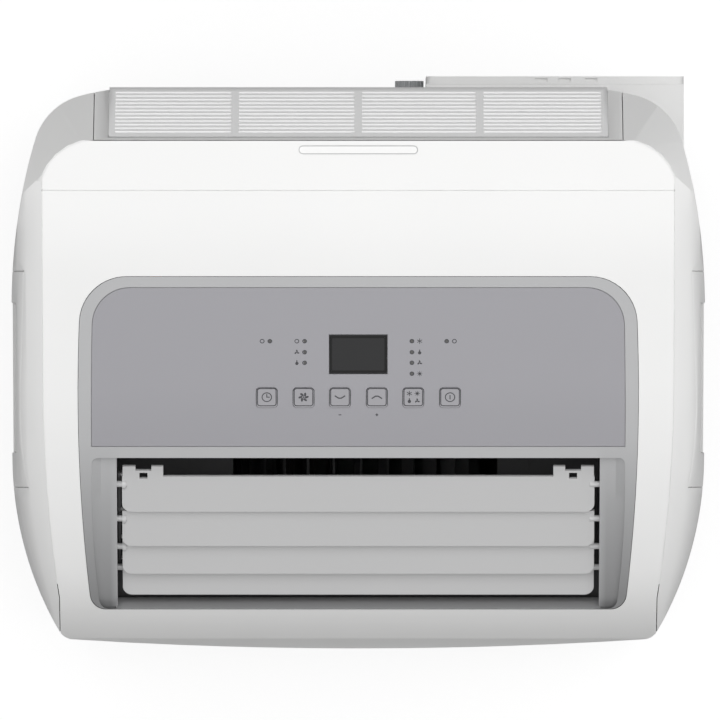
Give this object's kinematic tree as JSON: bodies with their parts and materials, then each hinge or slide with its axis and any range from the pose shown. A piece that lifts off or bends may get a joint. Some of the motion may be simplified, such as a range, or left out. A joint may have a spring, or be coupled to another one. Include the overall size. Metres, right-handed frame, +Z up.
{
  "type": "portable air conditioner",
  "caption": "Tower air conditioner on castors with a sloping control top, linked air louvres, side hand grips, tilt-out rear intake grille and a square rear exhaust port.",
  "frame": {"origin": "on the floor, under the middle of the object's box", "axes": "+Z up, +Y towards the back with the exhaust port, +X to the right when seen from the front"},
  "size_m": [0.44, 0.367, 0.705],
  "materials": {
    "white_shell": "fine moulded texture",
    "grille_grey": "moulded",
    "filter_mesh": "fine mesh",
    "bezel_grey": "satin",
    "overlay_grey": "satin film",
    "window_dark": "smoked gloss",
    "lamp_white": "light pipe",
    "key_grey": "satin",
    "louver_grey": "satin",
    "inner_plastic": "moulded",
    "cap_grey": "moulded",
    "bright_steel": "zinc plated",
    "motor_steel": "pressed steel",
    "fin_aluminium": "fin stock",
    "copper": "drawn copper",
    "black_steel": "black enamel",
    "rubber_foot": "moulded",
    "circuit_board": "laminate",
    "castor_plastic": "moulded",
    "castor_tread": "moulded"
  },
  "bodies": {
    "casing": {"base_pan": "white_shell", "compressor": "black_steel", "compressor_feet": "rubber_foot", "condenser_coil": "fin_aluminium", "condenser_grille": "grille_grey", "condenser_housing": "inner_plastic", "condenser_motor": "motor_steel", "control_bezel": "bezel_grey", "control_board": "circuit_board", "control_overlay": "overlay_grey", "cord_gland": "cap_grey", "cover_screws": "bright_steel", "display_window": "window_dark", "drip_tray": "inner_plastic", "electrical_box": "motor_steel", "evaporator_coil": "fin_aluminium", "evaporator_housing": "inner_plastic", "evaporator_motor": "motor_steel", "exhaust_duct": "bezel_grey", "exhaust_flange": "bezel_grey", "front_panel": "white_shell", "handle_left": "white_shell", "handle_right": "white_shell", "indicator_lights": "lamp_white", "louver_motor": "motor_steel", "outlet_duct": "inner_plastic", "rear_cover": "white_shell", "refrigerant_pipes": "copper", "side_panel_left": "white_shell", "side_panel_right": "white_shell", "top_cover": "white_shell"},
    "key_timer": {"key_timer": "key_grey"},
    "key_fan": {"key_fan": "key_grey"},
    "key_down": {"key_down": "key_grey"},
    "key_up": {"key_up": "key_grey"},
    "key_mode": {"key_mode": "key_grey"},
    "key_power": {"key_power": "key_grey"},
    "blade_1": {"louver_blade_1": "louver_grey"},
    "blade_2": {"louver_blade_2": "louver_grey"},
    "blade_3": {"louver_blade_3": "louver_grey"},
    "blade_4": {"louver_blade_4": "louver_grey"},
    "link": {"louver_link": "inner_plastic"},
    "crank": {"louver_crank": "inner_plastic"},
    "grille": {"intake_grille": "grille_grey", "intake_filter": "filter_mesh"},
    "cap": {"drain_cap": "cap_grey"},
    "evaporator_fan": {"evaporator_blower": "inner_plastic"},
    "condenser_fan": {"condenser_blower": "inner_plastic"},
    "fork_front_left": {"castor_fork_front_left": "castor_plastic", "castor_axle_front_left": "bright_steel"},
    "wheel_front_left": {"castor_wheel_front_left": "castor_tread"},
    "fork_rear_left": {"castor_fork_rear_left": "castor_plastic", "castor_axle_rear_left": "bright_steel"},
    "wheel_rear_left": {"castor_wheel_rear_left": "castor_tread"},
    "fork_front_right": {"castor_fork_front_right": "castor_plastic", "castor_axle_front_right": "bright_steel"},
    "wheel_front_right": {"castor_wheel_front_right": "castor_tread"},
    "fork_rear_right": {"castor_fork_rear_right": "castor_plastic", "castor_axle_rear_right": "bright_steel"},
    "wheel_rear_right": {"castor_wheel_rear_right": "castor_tread"}
  },
  "joints": [
    {"name": "key_timer_press", "type": "slide", "parent": "casing", "child": "key_timer", "axis": [0, 0.3737, -0.9276], "range_m": [0, 0.0005], "stiffness_N_per_m": 1500, "springref_m": -0.0004},
    {"name": "key_fan_press", "type": "slide", "parent": "casing", "child": "key_fan", "axis": [0, 0.3737, -0.9276], "range_m": [0, 0.0005], "stiffness_N_per_m": 1500, "springref_m": -0.0004},
    {"name": "key_down_press", "type": "slide", "parent": "casing", "child": "key_down", "axis": [0, 0.3737, -0.9276], "range_m": [0, 0.0005], "stiffness_N_per_m": 1500, "springref_m": -0.0004},
    {"name": "key_up_press", "type": "slide", "parent": "casing", "child": "key_up", "axis": [0, 0.3737, -0.9276], "range_m": [0, 0.0005], "stiffness_N_per_m": 1500, "springref_m": -0.0004},
    {"name": "key_mode_press", "type": "slide", "parent": "casing", "child": "key_mode", "axis": [0, 0.3737, -0.9276], "range_m": [0, 0.0005], "stiffness_N_per_m": 1500, "springref_m": -0.0004},
    {"name": "key_power_press", "type": "slide", "parent": "casing", "child": "key_power", "axis": [0, 0.3737, -0.9276], "range_m": [0, 0.0005], "stiffness_N_per_m": 1500, "springref_m": -0.0004},
    {"name": "louver_1_tilt", "type": "hinge", "parent": "casing", "child": "blade_1", "pos_m": [0, -0.07751, 0.62046], "axis": [1, 0, 0], "range_deg": [-40, 5]},
    {"name": "louver_2_tilt", "type": "hinge", "parent": "casing", "child": "blade_2", "pos_m": [0, -0.09941, 0.60446], "axis": [1, 0, 0], "range_deg": [-40, 5]},
    {"name": "louver_3_tilt", "type": "hinge", "parent": "casing", "child": "blade_3", "pos_m": [0, -0.11721, 0.58915], "axis": [1, 0, 0], "range_deg": [-40, 5]},
    {"name": "louver_4_tilt", "type": "hinge", "parent": "casing", "child": "blade_4", "pos_m": [0, -0.13061, 0.57436], "axis": [1, 0, 0], "range_deg": [-40, 5]},
    {"name": "louver_link_pivot", "type": "hinge", "parent": "blade_1", "child": "link", "pos_m": [-0.1519, -0.07145, 0.61696], "axis": [1, 0, 0], "range_deg": [-5, 40]},
    {"name": "louver_crank_turn", "type": "hinge", "parent": "casing", "child": "crank", "pos_m": [-0.155, -0.11632, 0.56821], "axis": [1, 0, 0], "range_deg": [-40, 5]},
    {"name": "intake_grille_tilt", "type": "hinge", "parent": "casing", "child": "grille", "pos_m": [0, 0.1732, 0.4833], "axis": [-1, 0, 0], "range_deg": [0, 35]},
    {"name": "drain_cap_pull", "type": "slide", "parent": "casing", "child": "cap", "axis": [0, 1, 0], "range_m": [0, 0.016]},
    {"name": "evaporator_blower_spin", "type": "hinge", "parent": "casing", "child": "evaporator_fan", "pos_m": [0, -0.096, 0.426], "axis": [0, 1, 0], "continuous": true},
    {"name": "condenser_blower_spin", "type": "hinge", "parent": "casing", "child": "condenser_fan", "pos_m": [0.057, 0.08, 0.165], "axis": [0, 1, 0], "continuous": true},
    {"name": "castor_swivel_front_left", "type": "hinge", "parent": "casing", "child": "fork_front_left", "pos_m": [-0.172, -0.132, 0.036], "axis": [0, 0, 1], "continuous": true},
    {"name": "castor_roll_front_left", "type": "hinge", "parent": "fork_front_left", "child": "wheel_front_left", "pos_m": [-0.172, -0.12, 0.016], "axis": [1, 0, 0], "continuous": true},
    {"name": "castor_swivel_rear_left", "type": "hinge", "parent": "casing", "child": "fork_rear_left", "pos_m": [-0.172, 0.12, 0.036], "axis": [0, 0, 1], "continuous": true},
    {"name": "castor_roll_rear_left", "type": "hinge", "parent": "fork_rear_left", "child": "wheel_rear_left", "pos_m": [-0.172, 0.132, 0.016], "axis": [1, 0, 0], "continuous": true},
    {"name": "castor_swivel_front_right", "type": "hinge", "parent": "casing", "child": "fork_front_right", "pos_m": [0.172, -0.132, 0.036], "axis": [0, 0, 1], "continuous": true},
    {"name": "castor_roll_front_right", "type": "hinge", "parent": "fork_front_right", "child": "wheel_front_right", "pos_m": [0.172, -0.12, 0.016], "axis": [1, 0, 0], "continuous": true},
    {"name": "castor_swivel_rear_right", "type": "hinge", "parent": "casing", "child": "fork_rear_right", "pos_m": [0.172, 0.12, 0.036], "axis": [0, 0, 1], "continuous": true},
    {"name": "castor_roll_rear_right", "type": "hinge", "parent": "fork_rear_right", "child": "wheel_rear_right", "pos_m": [0.172, 0.132, 0.016], "axis": [1, 0, 0], "continuous": true}
  ],
  "couplings": [
    {"joint": "louver_2_tilt", "follows": "louver_1_tilt", "ratio": 1},
    {"joint": "louver_3_tilt", "follows": "louver_1_tilt", "ratio": 1},
    {"joint": "louver_4_tilt", "follows": "louver_1_tilt", "ratio": 1},
    {"joint": "louver_link_pivot", "follows": "louver_1_tilt", "ratio": -1},
    {"joint": "louver_crank_turn", "follows": "louver_1_tilt", "ratio": 1}
  ]
}
